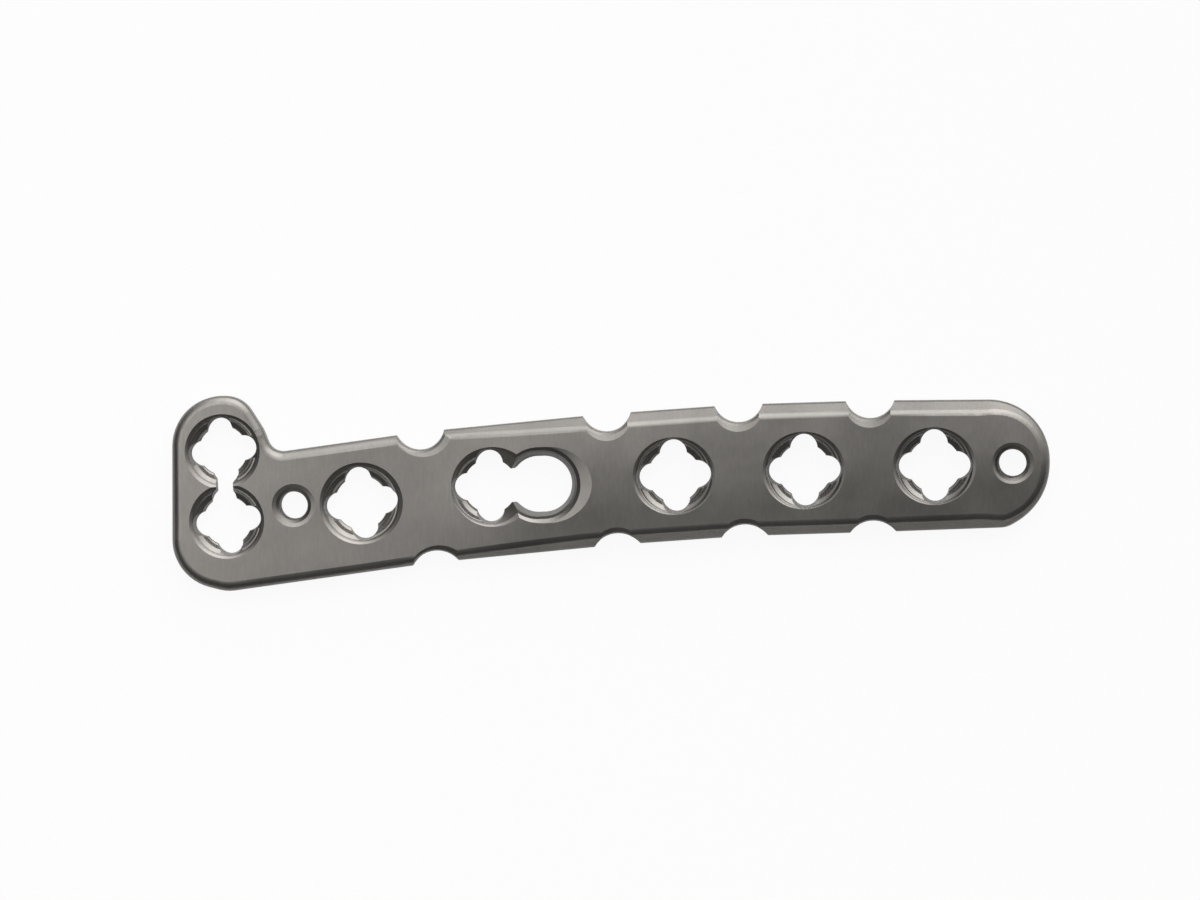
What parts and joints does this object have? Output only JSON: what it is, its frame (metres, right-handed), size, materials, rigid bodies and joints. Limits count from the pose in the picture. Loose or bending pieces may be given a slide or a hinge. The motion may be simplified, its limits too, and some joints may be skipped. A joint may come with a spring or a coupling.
{
  "type": "orthopedic bone plate",
  "caption": "Slim L-shaped locking plate for small bones, with an angled head, a slightly curved notched shaft, four-lobed screw holes, a combination hole and wire holes.",
  "frame": {"origin": "the middle of the plate's bounding box, on its flat bone side", "axes": "+X runs along the shaft from the head to the thin tip; +Z points away from the bone, out of the side that the screws go in; +Y points to the side that the head reaches out to"},
  "size_m": [0.0546, 0.0122, 0.002],
  "materials": {
    "steel": "satin"
  },
  "bodies": {
    "root": {"bone_plate": "steel"}
  },
  "joints": []
}
